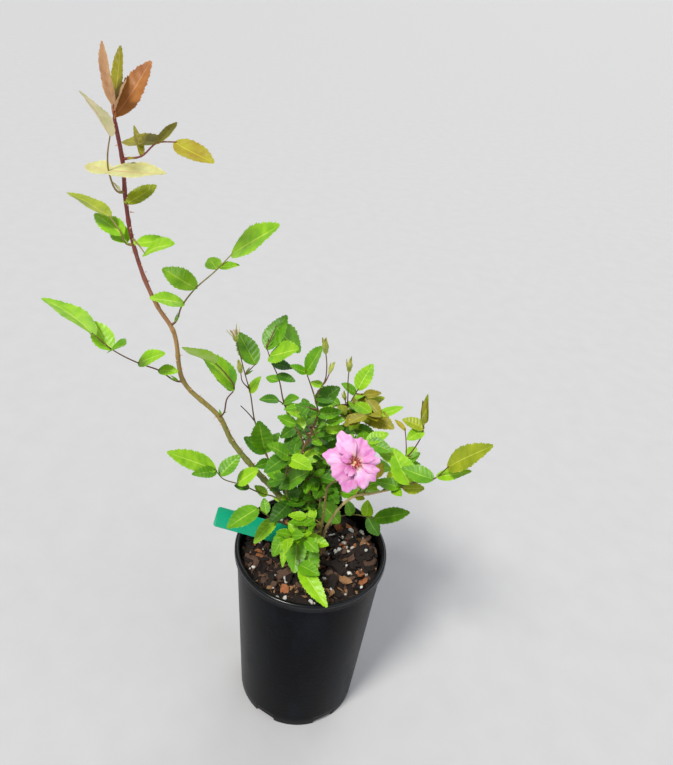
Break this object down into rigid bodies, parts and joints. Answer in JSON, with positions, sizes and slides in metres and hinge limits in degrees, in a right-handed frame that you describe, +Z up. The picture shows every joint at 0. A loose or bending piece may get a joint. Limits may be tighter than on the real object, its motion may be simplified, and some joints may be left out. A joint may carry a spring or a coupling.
{
  "type": "potted rose bush",
  "caption": "Young rose bush with one tall leaning cane, small leafy shoots, buds and an open flower, in a tall round nursery pot with a blank plant label.",
  "frame": {"origin": "centre of the pot's flat underside, where it stands", "axes": "+Z up the plant, -Y towards its best side, +X to the right seen from there; the tall cane leans to -X"},
  "size_m": [0.251, 0.1241, 0.4276],
  "materials": {
    "pot_plastic": "black blow-moulded plastic with a soft sheen and dusty smudges",
    "potting_mix": "damp dark bark and peat mix with chips, fibres and white grit",
    "label_plastic": "teal green plastic strip, blank",
    "cane_bark": "young cane, olive low down, tan and crimson higher up, with fine prickles",
    "stem_bark": "olive brown woody shoots",
    "foliage": "thin soft green leaves, coppery when young, with pink petals"
  },
  "bodies": {
    "root": {"pot": "pot_plastic", "potting_mix": "potting_mix", "plant_label": "label_plastic", "crown_stem": "stem_bark", "main_cane": "cane_bark", "left_shoot": "stem_bark", "tall_shoot": "stem_bark", "centre_shoot": "stem_bark", "bud_shoot": "stem_bark", "back_left_shoot": "stem_bark", "back_right_shoot": "stem_bark", "low_right_shoot": "stem_bark", "right_branch": "stem_bark", "bloom_shoot": "stem_bark", "cane_leaf_low": "foliage", "cane_leaf_left": "foliage", "cane_leaf_right": "foliage", "cane_leaf_upper_left": "foliage", "cane_leaf_upper_right": "foliage", "cane_leaf_small": "foliage", "cane_leaf_high": "foliage", "cane_leaf_top": "foliage", "cane_tip": "foliage", "low_left_leaf": "foliage", "label_leaf": "foliage", "left_foliage": "foliage", "tall_foliage": "foliage", "centre_foliage": "foliage", "bud_foliage": "foliage", "right_foliage": "foliage", "bloom_spray": "foliage", "front_foliage": "foliage", "core_left_foliage": "foliage", "core_right_foliage": "foliage", "back_left_foliage": "foliage", "back_right_foliage": "foliage", "back_low_foliage": "foliage", "low_right_leaf": "foliage"}
  },
  "joints": []
}
